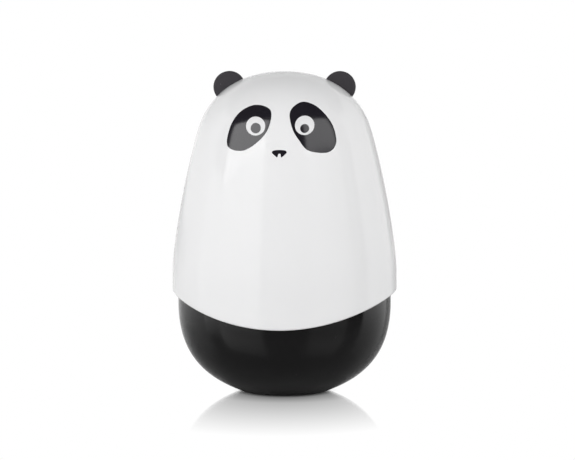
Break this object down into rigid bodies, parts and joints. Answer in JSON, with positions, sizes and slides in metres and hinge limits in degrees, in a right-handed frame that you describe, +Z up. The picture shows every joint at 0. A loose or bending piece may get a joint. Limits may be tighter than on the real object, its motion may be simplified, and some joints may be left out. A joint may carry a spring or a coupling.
{
  "type": "panda chime toy",
  "caption": "Standing baby's chime in the form of a panda: a glossy white cap with round ears lifts off a weighted black bowl that carries chime rods and a swinging wooden clapper.",
  "frame": {"origin": "middle of the foot pad on the table", "axes": "+Z up, the face looks along -Y, the ears stand at -X and +X"},
  "size_m": [0.09, 0.09, 0.1283],
  "materials": {
    "white_shell": "high-gloss moulded white ABS with a printed face",
    "black_shell": "high-gloss moulded black ABS",
    "black_ear": "soft matt black",
    "black_rubber": "matt moulded rubber",
    "cast_weight": "rough casting, blackened",
    "grey_deck": "fine satin moulding",
    "zinc_plate": "die-cast zinc alloy, bead blasted",
    "bright_steel": "polished rod and wire",
    "zinc_plated_steel": "bright zinc plating",
    "brass_fitting": "turned brass",
    "beech_ball": "oiled beech"
  },
  "bodies": {
    "base": {"base_bowl": "black_shell", "foot_pad": "black_rubber", "grip_ring": "black_rubber", "ballast_ring": "cast_weight", "chime_deck": "grey_deck", "chime_plate": "zinc_plate", "chime_rod_1": "bright_steel", "chime_rod_2": "bright_steel", "chime_rod_3": "bright_steel", "chime_rod_4": "bright_steel", "post_left": "bright_steel", "post_right": "bright_steel", "cross_bar": "bright_steel", "ballast_washer": "zinc_plated_steel", "ballast_screw": "zinc_plated_steel", "deck_screw_1": "zinc_plated_steel", "deck_screw_2": "zinc_plated_steel", "deck_screw_3": "zinc_plated_steel", "deck_screw_4": "zinc_plated_steel", "plate_screw_1": "zinc_plated_steel", "plate_screw_2": "zinc_plated_steel", "plate_screw_3": "zinc_plated_steel", "plate_screw_4": "zinc_plated_steel", "bar_cap_left": "brass_fitting", "bar_cap_right": "brass_fitting"},
    "cap": {"cap_shell": "white_shell", "ear_left": "black_ear", "ear_right": "black_ear", "ear_clip_left": "zinc_plated_steel", "ear_clip_right": "zinc_plated_steel"},
    "ring": {"hanger_ring": "bright_steel"},
    "clapper": {"clapper_rod": "bright_steel", "clapper_ball": "beech_ball", "clapper_nut": "brass_fitting"}
  },
  "joints": [
    {"name": "cap_lift", "type": "slide", "parent": "base", "child": "cap", "axis": [0, 0, 1], "range_m": [0, 0.1]},
    {"name": "ring_swing", "type": "hinge", "parent": "base", "child": "ring", "pos_m": [0, 0, 0.106], "axis": [1, 0, 0], "range_deg": [-12.5, 12.5]},
    {"name": "clapper_swing", "type": "hinge", "parent": "ring", "child": "clapper", "pos_m": [0, 0, 0.1001], "axis": [0, 1, 0], "range_deg": [-15, 15]}
  ]
}
